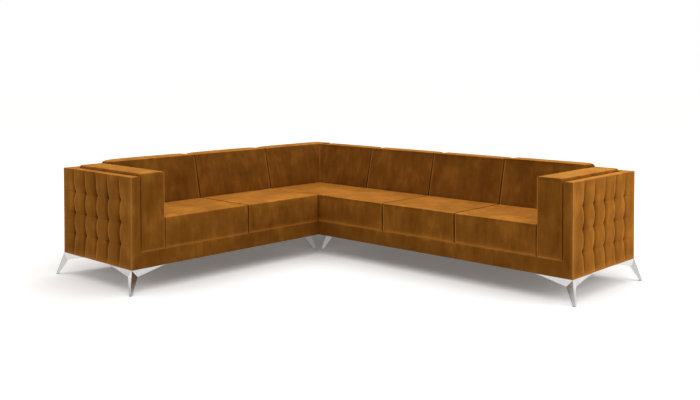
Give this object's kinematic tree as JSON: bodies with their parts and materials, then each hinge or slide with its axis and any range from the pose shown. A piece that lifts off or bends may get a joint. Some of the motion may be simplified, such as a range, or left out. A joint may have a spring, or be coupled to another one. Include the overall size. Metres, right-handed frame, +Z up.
{
  "type": "corner sofa",
  "caption": "Low corner sofa with tufted outer walls, boxed arms, loose seat cushions and polished splayed metal legs.",
  "frame": {"origin": "on the floor under the middle of the whole sofa's bounding box", "axes": "+X along the long right run, towards its arm; +Y towards the rear of the right run; +Z up. The left run goes from the corner towards -Y."},
  "size_m": [2.946, 2.476, 0.7457],
  "materials": {
    "velvet": "matte",
    "leg_metal": "polished",
    "frame_timber": "matte",
    "webbing": "matte",
    "deck_cloth": "matte",
    "dust_cloth": "matte",
    "hardware_steel": "satin",
    "glide_plastic": "matte"
  },
  "bodies": {
    "sofa": {"arm_base_boards": "frame_timber", "back_corner_left": "velvet", "back_corner_right": "velvet", "back_left_1": "velvet", "back_left_2": "velvet", "back_right_1": "velvet", "back_right_2": "velvet", "back_right_3": "velvet", "corner_side_cover": "velvet", "corner_side_frame": "frame_timber", "corner_side_panel": "velvet", "docking_hooks": "hardware_steel", "dust_covers": "dust_cloth", "frame_bolts": "hardware_steel", "left_apron": "velvet", "left_arm_core": "frame_timber", "left_arm_cover": "velvet", "left_arm_frame": "frame_timber", "left_arm_pad": "velvet", "left_arm_panel": "velvet", "left_back_cover": "velvet", "left_back_frame": "frame_timber", "left_back_panel": "velvet", "left_cross_rails": "frame_timber", "left_deck": "deck_cloth", "left_front_rail": "frame_timber", "left_joint_rail": "frame_timber", "left_rear_rail": "frame_timber", "left_webbing": "webbing", "leg_blocks": "frame_timber", "leg_corner_rear": "leg_metal", "leg_glides": "glide_plastic", "leg_inner_left": "leg_metal", "leg_inner_right": "leg_metal", "leg_joint_rear": "leg_metal", "leg_left_front": "leg_metal", "leg_left_rear": "leg_metal", "leg_right_front": "leg_metal", "leg_right_rear": "leg_metal", "leg_screws": "hardware_steel", "right_apron": "velvet", "right_arm_core": "frame_timber", "right_arm_cover": "velvet", "right_arm_frame": "frame_timber", "right_arm_pad": "velvet", "right_arm_panel": "velvet", "right_back_cover": "velvet", "right_back_frame": "frame_timber", "right_back_panel": "velvet", "right_cross_rails": "frame_timber", "right_deck": "deck_cloth", "right_front_rail": "frame_timber", "right_rear_rail": "frame_timber", "right_webbing": "webbing"},
    "seat_corner_body": {"seat_corner": "velvet"},
    "seat_right_1_body": {"seat_right_1": "velvet"},
    "seat_right_2_body": {"seat_right_2": "velvet"},
    "seat_left_1_body": {"seat_left_1": "velvet"},
    "seat_left_2_body": {"seat_left_2": "velvet"}
  },
  "joints": [
    {"name": "seat_corner_lift", "type": "slide", "parent": "sofa", "child": "seat_corner_body", "axis": [0, 0, 1], "range_m": [0, 0.52]},
    {"name": "seat_right_1_lift", "type": "slide", "parent": "sofa", "child": "seat_right_1_body", "axis": [0, 0, 1], "range_m": [0, 0.52]},
    {"name": "seat_right_2_lift", "type": "slide", "parent": "sofa", "child": "seat_right_2_body", "axis": [0, 0, 1], "range_m": [0, 0.52]},
    {"name": "seat_left_1_lift", "type": "slide", "parent": "sofa", "child": "seat_left_1_body", "axis": [0, 0, 1], "range_m": [0, 0.52]},
    {"name": "seat_left_2_lift", "type": "slide", "parent": "sofa", "child": "seat_left_2_body", "axis": [0, 0, 1], "range_m": [0, 0.52]}
  ]
}
